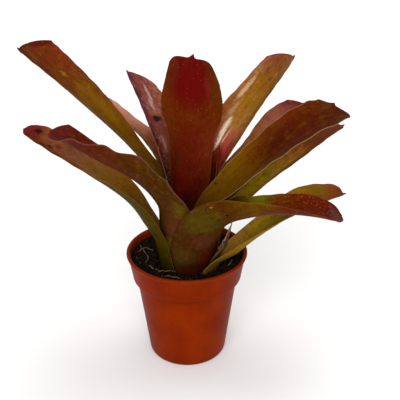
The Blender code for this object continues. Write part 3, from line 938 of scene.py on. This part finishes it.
# The front right leaf. Its broad sheath closes the front of the plant, and its blade turns over
# to the right, so that both its sides show: a speckled red inside and an orange-brown outside.
grow_leaf(
    dict(
        name="front_right", ring=ring(3), azimuth=-60, swing=62, spine=0.6,
        sheath=32, waist=36, blade=24, tip=0.76, curl=(80, 54, 22), hug=(4, 38), waist_at=0.45,
        corner=3.5, widths=((0.45, 34.6), (0.57, 26.5), (0.72, 23.5), (0.9, 22.5)),
        route=((12, -18, 69), (18.5, -22, 82.5), (30.5, -22.5, 87), (48, -20.5, 88),
               (71, -18, 85.2)),
        roll=(0, -24, -18, -4, 5),
    ),
    dict(
        mottle=("4c1c04", 0.3), flecks=("cc8c38", 0.26, 0.75, 0.5), rim=("8a5c34", 0.3),
        tip_tone="501414",
        inside="0 391e0e, 40 513906, 52 5e6605, 60 6b5a09, 68 672d08, 78 661c06, 88 641606, "
               "95 5c120a, 100 4c1010",
        left="0 391e0e, 60 5e3d11, 75 5e2010, 92 6a3028, 100 6a352c",
        right="0 391e0e, 46 543602, 56 634c06, 65 6e4405, 74 6b2506, 88 661c08, 100 62160c",
        outside="0 220802, 12 351d08, 25 421f06, 38 432c02, 50 4f3004, 60 5b2403, 75 571907, "
                "90 5a2315, 100 531c18",
        underside_left="0 261904, 12 4c3410, 22 3f2309, 32 492607, 45 442302, 55 5c3f03, "
                       "70 581b05, 100 56201c",
        underside_right="0 2f0b03, 12 351806, 25 361e02, 42 3b2702, 60 572c05, 100 531c15",
        patches=[
            Patch((0.2, 0.36), (0.35, 0.08), "484606", 0.5, face=0, ragged=1.2, soft=0.9),
            Patch((0.45, 0.24), (0.25, 0.07), "58301c", 0.5, face=0, ragged=1.2),
            Patch((0.25, 0.14), (0.22, 0.06), "46300c", 0.3, face=0, ragged=1.2),
            Patch((0.23, 0.44), (0.022, 0.009), "1c0a04", 0.9, face=0, soft=0.5),
            Patch((0.07, 0.41), (0.01, 0.004), "a08a5c", 0.7, face=0, soft=0.7),
            Patch((0.85, 0.59), (0.5, 0.07), "66660a", 0.8, ragged=1.0, soft=0.8),
            Patch((0.5, 0.965), (0.4, 0.035), "5c3430", 0.6),
            Patch((0.56, 0.12), (0.24, 0.09), "500a06", 0.5, face=0, ragged=0.9, soft=0.8),
            Patch((0.4, 0.05), (0.4, 0.05), "300602", 0.6, face=0),
        ],
    ),
)


# The front left leaf. It rises from the front of the plant and rolls over to the left. Its
# outside faces the front, bronze brown with a painted violet sheen, and its wine-red tip folds in.
grow_leaf(
    dict(
        name="front_left", ring=ring(4), azimuth=231, swing=-49, spine=0.6,
        sheath=24, waist=28, blade=25, curl=(72, 68, 29), hug=(14, 42),
        route=((-9, -15, 82), (-16.5, -19.5, 97.5), (-25, -23.5, 107.5), (-38.5, -23, 115),
               (-58, -17.5, 126)),
        roll=(8, 22, 30, 22, -12), crinkle=(0.9, 13.0, 1.0),
    ),
    dict(
        mottle=("5a2410", 0.3), glow=("66500a", 0.2), rim=("a07078", 0.35), margin=0.15,
        tip_tone="6a1a20",
        inside="0 351b0c, 50 4d2604, 75 5b2010, 88 551908, 100 5a1a18",
        outside="0 906d13, 13 846a15, 22 472e09, 30 4a2b0b, 42 452102, 52 3b2002, 60 472102, "
                "70 521802, 80 551403, 92 591910, 100 642119",
        # The pale violet stops from 76 to 94 paint a sheen along this margin of the outside.
        underside_left="0 71590f, 20 543d08, 32 4e2e0c, 60 4b2908, 76 693c29, 86 80554a, "
                       "94 64302c, 100 68302c",
        underside_right="0 68520f, 30 522e12, 45 422503, 60 3f2502, 72 512209, 86 511407, "
                        "100 64392d",
        patches=[
            Patch((0.86, 0.36), (0.16, 0.08), "565208", 0.4, face=0, ragged=1.2, soft=0.9),
            Patch((0.5, 0.26), (0.35, 0.06), "54281c", 0.5, face=0, ragged=1.2),
            Patch((0.2, 0.48), (0.22, 0.08), "4e4204", 0.4, face=0, ragged=1.2, soft=0.9),
            Patch((0.86, 0.29), (0.03, 0.009), "1a0a04", 0.85, face=0, soft=0.5),
            Patch((0.83, 0.25), (0.03, 0.008), "1a0a04", 0.85, face=0, soft=0.5),
            Patch((0.42, 0.21), (0.02, 0.007), "1a0a04", 0.85, face=0, soft=0.5),
            Patch((0.82, 0.31), (0.012, 0.005), "b09a84", 0.8, face=0, soft=0.5),
            # A painted sheen: a pale violet patch on the outside, towards the tip.
            Patch((0.2, 0.8), (0.22, 0.14), "9a7078", 0.5, face=0),
        ],
    ),
)


# The short back right leaf, rose brown and half hidden behind the upper right leaf.
grow_leaf(
    dict(
        name="back_right_short", ring=ring(5), azimuth=40,
        sheath=18, waist=14, blade=20, tip=0.85, curl=(45, 35, 30),
        route=((16, 8, 86), (37, 17, 105), (47.5, 26, 116), (58.5, 33, 121.5)),
        roll=(0, 0, 0, 0),
    ),
    dict(
        mottle=("8a4f2a", 0.2), rim=("905a48", 0.3), tip_tone="4a1014",
        inside="0 501e0f, 40 814f16, 60 a06538, 72 9c5f3a, 84 9d5b44, 92 823e34, 100 621a1c",
        outside="0 2c1006, 50 5a3010, 80 6c3828, 100 50181a",
        patches=[
            Patch((0.2, 0.9), (0.3, 0.12), "4c0e12", 0.75, ragged=0.8, soft=0.8),
            # A painted highlight: a paler rose patch with a glossier coat.
            Patch((0.55, 0.78), (0.12, 0.1), "a06a54", 0.5, ragged=1.0, polish=0.3),
        ],
    ),
)


# The low back left leaf, pale rose, seen between the upper left and back left leaves.
grow_leaf(
    dict(
        name="back_left_low", ring=ring(6), azimuth=128,
        sheath=14, waist=13, blade=16, tip=0.62, curl=(45, 20, 25),
        route=((-7, 13, 88), (-14.5, 23.5, 103), (-28, 36.5, 109.5), (-46, 48.5, 119.5)),
        roll=(0, 2, 25, 8),
    ),
    dict(
        mottle=("b07a66", 0.25), rim=("b07c6c", 0.3), tip_tone="8a4a40",
        inside="0 4c1c0d, 40 68330f, 58 7f4718, 68 a1603a, 78 b17157, 90 c3816c, 100 c3887a",
        left="0 4c1c0d, 50 814822, 68 bd7260, 80 c3836e, 100 cd9588",
        right="0 4c1c0d, 55 794513, 70 93561c, 85 a86747, 100 ba7e6c",
        outside="0 2c1006, 50 64341a, 100 8a5448",
    ),
)


# The upper left leaf, a long olive-mustard strap that reaches up to a slanting dark red tip. Its
# lower edge is darker, painted shade, and its upper edge lighter orange brown, painted light, with
# golden flecks between.
grow_leaf(
    dict(
        name="upper_left", ring=ring(7), azimuth=165, tip=0.9,
        sheath=16, waist=12.5, blade=28, curl=(45, 35, 25), hug=(12, 40), slant=2,
        route=((-11, 3, 90), (-25.5, 5.5, 109.5), (-47.5, 11, 131), (-72.5, 15.5, 156)),
        roll=(0, 6, 6, -5), spine_at=0.85,
    ),
    dict(
        mottle=("7a5004", 0.22), glow=("8a6008", 0.1), flecks=("b08428", 0.18, 0.2, 0.5),
        rim=("a07050", 0.3), tip_tone="480a08",
        inside="0 2b160d, 28 3f2405, 38 5e3c02, 50 654202, 60 6b4202, 70 724808, 78 6b350b, "
               "88 692a0b, 100 652809",
        # The margin ramps differ in lightness: the lighter one is the upper edge's painted light, the
        # darker one the lower edge's painted shade.
        left="0 2b160d, 40 5b3702, 60 6c3f0a, 75 6f3a11, 88 6d2c13, 100 692811",
        right="0 2b160d, 40 5e3702, 60 5b3202, 75 592603, 88 542204, 100 4c180a",
        outside="0 1c0c04, 40 5a3a12, 60 573008, 80 562a08, 100 5a2412",
        patches=[
            Patch((0.25, 0.64), (0.24, 0.1), "7a5c04", 0.5, ragged=1.0, soft=0.9),
            Patch((0.3, 0.76), (0.22, 0.05), "7c5a04", 0.45, ragged=1.2, soft=0.9),
            Patch((0.38, 0.84), (0.06, 0.02), "a07010", 0.6, ragged=1.4),
            Patch((0.1, 0.9), (0.2, 0.08), "7a2a10", 0.5),
            Patch((0.2, 0.985), (0.4, 0.02), "5a0e0a", 0.85),
        ],
    ),
)


# The tall back right leaf, the glossiest one. It runs from a deep crimson foot through ochre and
# olive to an orange-brown tip, with a broken cream highlight painted down its left half, in its
# colour and in a glossier coat.
grow_leaf(
    dict(
        name="back_right_tall", ring=ring(8), azimuth=58, slant=-1.5, spine_at=-0.8,
        sheath=18, waist=18.5, blade=23, tip=0.7, curl=(45, 40, 25),
        route=((11, 13, 95.5), (21.5, 20, 113), (36, 34, 127.5), (49.4, 46.9, 143.3)),
        roll=(0, 0, -11, -5),
    ),
    dict(
        mottle=("7a5604", 0.35), glow=("b08040", 0.2), rim=("b08060", 0.3), film=0.3,
        film_rough=0.2, tip_tone="5c1c18",
        inside="0 390201, 36 69020b, 46 97262c, 54 9c4e3e, 62 966529, 70 8b5a0a, 78 8a5a0e, "
               "88 7f4b1a, 100 793b28",
        left="0 390201, 38 540409, 48 6e2115, 56 7e4425, 66 774f10, 80 6f450d, 90 7a5127, "
             "100 7a4b38",
        right="0 390201, 42 8f1522, 55 a35242, 66 8d5128, 80 8b562a, 90 8e5737, 100 85432c",
        outside="0 2c0402, 50 6a2c1c, 80 6a3c14, 100 6c3420",
        patches=[
            # The five pale patches are painted highlights: cream colour, with a glossier coat there.
            Patch((0.64, 0.56), (0.09, 0.08), "f4e0c0", 0.85, ragged=0.8, soft=0.8, polish=0.7),
            Patch((0.6, 0.5), (0.06, 0.06), "f0d8c0", 0.85, ragged=0.8, soft=0.8, polish=0.7),
            Patch((0.5, 0.53), (0.03, 0.05), "d8ac88", 0.6, ragged=1.2, polish=0.45),
            Patch((0.84, 0.78), (0.07, 0.09), "c8a07c", 0.65, ragged=0.9, polish=0.45),
            Patch((0.74, 0.66), (0.06, 0.07), "b08a64", 0.45, ragged=0.9, polish=0.45),
            Patch((0.45, 0.42), (0.5, 0.07), "6a0a12", 0.6),
            Patch((0.45, 0.86), (0.05, 0.01), "3a1806", 0.6),
        ],
    ),
)


# The back left leaf, maroon to violet on its left and rose brown on its right, with whitish
# streaks of painted highlight, a black blotch and a few small black spots.
grow_leaf(
    dict(
        name="back_left", ring=ring(9), azimuth=120, slant=4, spine_at=0.8,
        sheath=14, waist=18, blade=20.5, tip=0.65, curl=(45, 35, 32),
        route=((-5, 10, 98), (-10.5, 18.5, 113.5), (-17.5, 29, 122), (-25.5, 41.5, 134.5)),
        roll=(0, 4, 16, 7),
    ),
    dict(
        mottle=("7a3c38", 0.3), glow=("c09a90", 0.25), rim=("b08880", 0.3), film=0.3,
        film_rough=0.24, tip_tone="6a2c34",
        inside="0 2f0c04, 40 4a1809, 50 703924, 60 824132, 72 78352a, 80 8a4a3b, 88 7e4135, "
               "100 733632",
        left="0 2f0c04, 50 6b3922, 70 814835, 80 904d32, 90 93553a, 100 894832",
        right="0 2f0c04, 40 45160e, 55 5b1d1a, 70 611824, 85 541226, 100 5c2434",
        outside="0 200602, 50 48201a, 80 5c2c28, 100 643034",
        patches=[
            # The three whitish patches are painted highlights, with a glossier coat there.
            Patch((0.42, 0.88), (0.07, 0.08), "c8a8a4", 0.45, ragged=0.8, polish=0.4),
            Patch((0.5, 0.8), (0.06, 0.06), "c09a90", 0.5, ragged=1.0, polish=0.45),
            Patch((0.68, 0.58), (0.06, 0.06), "b0887e", 0.45, ragged=1.0, polish=0.45),
            Patch((0.6, 0.735), (0.22, 0.04), "a05a30", 0.4, ragged=1.2),
            Patch((0.6, 0.715), (0.15, 0.022), "0c0a08", 0.95, ragged=1.4, soft=0.3),
            Patch((0.93, 0.625), (0.05, 0.012), "0c0a08", 0.9, ragged=1.2, soft=0.3),
            Patch((0.9, 0.595), (0.04, 0.01), "0c0a08", 0.9, ragged=1.2, soft=0.3),
            Patch((0.7, 0.88), (0.04, 0.01), "240a0c", 0.8, ragged=1.0, soft=0.4),
        ],
    ),
)


# The young inner leaf, a narrow dark spear between the back centre and upper right leaves.
grow_leaf(
    dict(
        name="young_inner", ring=ring(10), azimuth=48,
        sheath=7, waist=8.5, blade=9, tip=0.5, curl=(60, 50, 40),
        route=((10, 5.5, 84.5), (12, 7.5, 92.5), (13.4, 9.5, 100), (15.6, 12, 106)),
        roll=(0, 0, 0, 0),
    ),
    dict(
        rim=("8a4a2c", 0.3), tip_tone="3a0a06",
        inside="0 2f0602, 70 340803, 82 400d04, 92 541808, 100 662113",
        outside="0 1c0301, 70 3a1406, 100 54200e",
    ),
)


# The back centre leaf, the broadest, stands up in the middle of the plant. It is crimson down
# its middle and olive brown at its margins, with a hooked crimson spine. Its foot is painted
# nearly black in the cup, as shade.
grow_leaf(
    dict(
        name="back_centre", ring=ring(11), azimuth=106, swing=-14, slant=2, corner=6,
        sheath=10, waist=21, blade=30, curl=(40, 27, 25), hug=(16, 42), waist_at=0.46,
        widths=((0.4, 20.5), (0.55, 22.5), (0.63, 24.5), (0.7, 29.5), (0.77, 30.5), (0.86, 27.5)),
        route=((1.5, 7, 96), (1.5, 11.5, 116), (2.5, 17.5, 129), (2.5, 26, 146.5)),
        roll=(4, 18, 0, -6), hook=(1.2, 0.3, 0.6),
    ),
    dict(
        mottle=("4e2402", 0.28), glow=("7c2a06", 0.12), flecks=("a06a48", 0.16, 0.35, 0.2),
        rim=("7a4a20", 0.3), margin=0.1, tip_tone="64060e",
        # The near-black foot of each ramp is painted shade, deep in the cup.
        inside="0 2a0402, 30 330803, 38 4d0d06, 48 5b1507, 60 601805, 72 601b04, 82 590e03, "
               "92 550805, 100 560905",
        left="0 2a0402, 38 481503, 50 612108, 64 622105, 80 5c2803, 92 5b280a, 100 571d09",
        right="0 2a0402, 38 360903, 48 4e1404, 60 5e2307, 75 5f2603, 90 591f08, 100 5a1b0a",
        outside="0 1c0301, 50 441606, 80 54200a, 100 54180c",
        patches=[
            Patch((0.5, 0.87), (0.4, 0.14), "5c0202", 0.9, ragged=0.7, soft=0.6),
            # A painted sheen: a paler rosy patch near this margin.
            Patch((0.22, 0.86), (0.09, 0.08), "6e1c16", 0.5, ragged=0.7, soft=0.8),
            Patch((0.72, 0.38), (0.25, 0.1), "5c0e0c", 0.6),
            Patch((0.5, 0.7), (0.34, 0.04), "5e3006", 0.3, ragged=1.4, soft=0.9),
        ],
    ),
)


# The upper right leaf, innermost of all. Olive at its foot, it turns dark red brown, with one
# pale thin margin below, tiny pale dots and a notched tip with its spine to one side.
grow_leaf(
    dict(
        name="upper_right", ring=ring(12), azimuth=-15, swing=20, slant=-2.4, spine_at=0.5,
        sheath=16, waist=24, blade=26, tip=0.8, curl=(60, 30, 30), hug=(16, 42), waist_at=0.36,
        route=((16, -7, 84.5), (35, -4.5, 106.5), (56.5, -3, 124.5), (71, 2.1, 129)),
        roll=(14, 10, 17, 18), crinkle=(0.4, 12.0, 0.0),
    ),
    dict(
        mottle=("5a3e02", 0.3), glow=("6e3a06", 0.12), flecks=("a07850", 0.16, 0.4, 0.3),
        rim=("b09068", 0.5), margin=0.3, tip_tone="4a0c0c",
        inside="0 3a1c07, 22 593101, 34 5b3a01, 44 613e02, 52 5e3601, 60 511d02, 72 4e1706, "
               "82 4f1602, 92 4c1702, 100 4b1903",
        left="0 3a1c07, 40 775b2c, 52 6f5327, 62 5e3115, 75 4e1d09, 90 441603, 100 59261d",
        right="0 3a1c07, 25 5d3913, 35 654304, 46 6c4901, 54 6a4002, 64 5f2905, 78 5f2307, "
              "90 592103, 100 531d05",
        outside="0 241002, 30 442501, 50 6a4c1c, 70 54280c, 100 502010",
        patches=[
            Patch((0.93, 0.36), (0.022, 0.008), "1c0a04", 0.85, soft=0.4),
            Patch((0.6, 0.68), (0.14, 0.07), "3c0804", 0.55),
        ],
    ),
)


# A dry remnant of an old leaf base stands between the outer sheaths on the right. It is thin,
# brown and papery, torn along its top, with a pale edge.
def make_remnant():
    remnant = dict(
        ring=ring(1), azimuth=-26, slant=2.0, spine_at=0.6, sheath=12, waist=11, blade=8, tip=0.6,
        curl=(30, 25, 20), hug=(6, 16), route=((17.8, -9, 60), (19.3, -9, 67), (21, -8.5, 74.5)),
        roll=(0, 0, 0), crinkle=(0.5, 5.0, 0.0),
    )
    return make_leaf(remnant)


def remnant_finish():
    """Fibrous brown paper, dark at its foot and pale along its torn top edge."""
    finish = Finish("dry sheath paper", {"Specular IOR Level": 0.2})
    u, v = finish.chart()
    fibres = finish.noise(finish.vector(u * 16, v * 3, 2.0), 1.0, 4.0, 0.65)
    stain = finish.noise(finish.vector(u * 3, v * 3, 5.0), 1.0, 3.0)
    paper = finish.mix(stain.between(0.35, 0.65), "3a2410", "6a4a2a")
    paper = finish.mix(fibres.between(0.5, 0.75) * 0.5, paper, "97795a")
    edge = abs(u * 2 - 1)
    pale = (edge.between(0.85, 1.0) + v.between(0.86, 0.98)).clamped()
    paper = finish.mix(pale * v.between(0.6, 0.95) * 0.6, paper, "a88a70")
    paper = finish.mix(v.between(0.65, 0.2) * 0.85, paper, "241006")
    return finish.wear(paper, 0.7 + 0.2 * stain, fibres, depth=0.25, strength=0.7)


dress(make_remnant(), "papery_remnant", remnant_finish(), "dry_sheath")


# The studio is a plain white floor, a broad soft light high over the plant, a stronger soft fill
# from the front and an even white surround.
FLOOR_SIZE = 60.0


def make_floor():
    start_piece()
    bpy.ops.mesh.primitive_plane_add(size=FLOOR_SIZE, location=(0.0, 0.0, 0.0))
    floor = bpy.context.object
    bpy.ops.object.transform_apply(location=True, rotation=True, scale=True)
    floor.name = "floor"
    white = Finish("white floor", {"Specular IOR Level": 0.1})
    grain = white.noise(white.place(), 0.02, 2.0)
    shade = white.mix(grain, "fafaf9", "fcfcfc")
    floor.data.materials.append(white.wear(shade, 0.85 + 0.05 * grain))


def make_light(name, towards, strength, spread, colour):
    """A sun seen from the plant in one direction, whose disc is spread degrees wide."""
    light = bpy.data.lights.new(name, "SUN")
    light.energy = strength
    light.angle = math.radians(spread)
    light.color = colour
    lamp = add_object(name, light)
    x, y, z = towards
    lamp.rotation_euler = (math.atan2(math.hypot(x, y), z), 0.0, math.atan2(y, x) + math.pi / 2)
    lamp.location = towards


def make_studio():
    make_floor()
    warm = (1.0, 0.99, 0.97)
    white = (1.0, 1.0, 1.0)
    make_light("overhead", (0.1, 0.25, 1.0), strength=0.75, spread=32.0, colour=warm)
    make_light("front fill", (-0.1, -1.0, 0.65), strength=2.0, spread=50.0, colour=white)
    world = bpy.data.worlds.new("surround")
    bpy.context.scene.world = world
    world.use_nodes = True
    sky = world.node_tree.nodes["Background"]
    sky.inputs["Color"].default_value = (*white, 1.0)
    sky.inputs["Strength"].default_value = 0.6
    bpy.context.scene.view_settings.view_transform = "Standard"


make_studio()


# The camera stands a little above the plant and in front of it, and looks down at it.
CAMERA_PLACE = (0.0065, -0.303, 0.232)
CAMERA_TILT = math.radians(64.0)
FOCAL_LENGTH = 63.18
SENSOR_WIDTH = 36.0


def make_camera():
    lens = bpy.data.cameras.new("camera")
    lens.lens = FOCAL_LENGTH
    lens.sensor_width = SENSOR_WIDTH
    lens.clip_start = 0.01
    camera = add_object("camera", lens)
    camera.location = CAMERA_PLACE
    camera.rotation_euler = (CAMERA_TILT, 0.0, 0.0)
    bpy.context.scene.camera = camera


make_camera()
